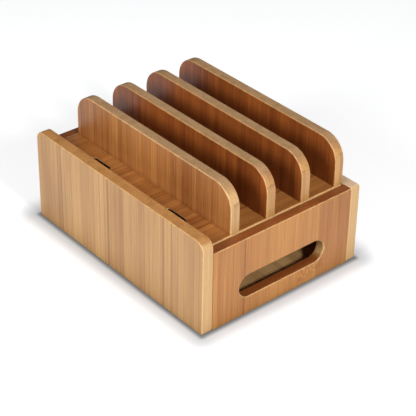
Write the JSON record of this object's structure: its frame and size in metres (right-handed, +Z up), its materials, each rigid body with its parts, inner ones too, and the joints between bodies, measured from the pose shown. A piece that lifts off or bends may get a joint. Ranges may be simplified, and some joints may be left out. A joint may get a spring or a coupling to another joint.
{
  "type": "charging station organizer",
  "caption": "Bamboo desk charging stand: a lift-off tray with upright dividers and cable slots, over a box for a charger with a long rounded cord outlet in each side.",
  "frame": {"origin": "middle of the footprint, on the surface that the box stands on", "axes": "+X right along the long front panel, +Y from the front panel to the back, +Z up"},
  "size_m": [0.1702, 0.1296, 0.0889],
  "materials": {
    "bamboo_light": "satin varnish over light tan laminated bamboo strips",
    "bamboo_warm": "satin varnish over orange-tan laminated bamboo strips",
    "bamboo_brown": "semi-gloss varnish over darker orange-brown laminated bamboo",
    "bamboo_divider": "semi-gloss varnish over orange-brown laminated bamboo strips, pale end grain at the edges",
    "bamboo_board": "bare pale bamboo ply",
    "dowel_wood": "bare pale dowel",
    "screw_steel": "zinc-plated steel"
  },
  "bodies": {
    "box": {"front_panel": "bamboo_light", "rear_panel": "bamboo_warm", "left_side_panel": "bamboo_warm", "right_side_panel": "bamboo_warm", "bottom_panel": "bamboo_board", "left_cleat": "bamboo_warm", "right_cleat": "bamboo_warm", "corner_dowels": "dowel_wood"},
    "tray": {"tray_panel": "bamboo_brown", "divider_1": "bamboo_divider", "divider_2": "bamboo_divider", "divider_3": "bamboo_divider", "divider_4": "bamboo_divider", "divider_screws": "screw_steel"}
  },
  "joints": [
    {"name": "tray_lift", "type": "slide", "parent": "box", "child": "tray", "axis": [0, 0, 1], "range_m": [0, 0.06]}
  ]
}
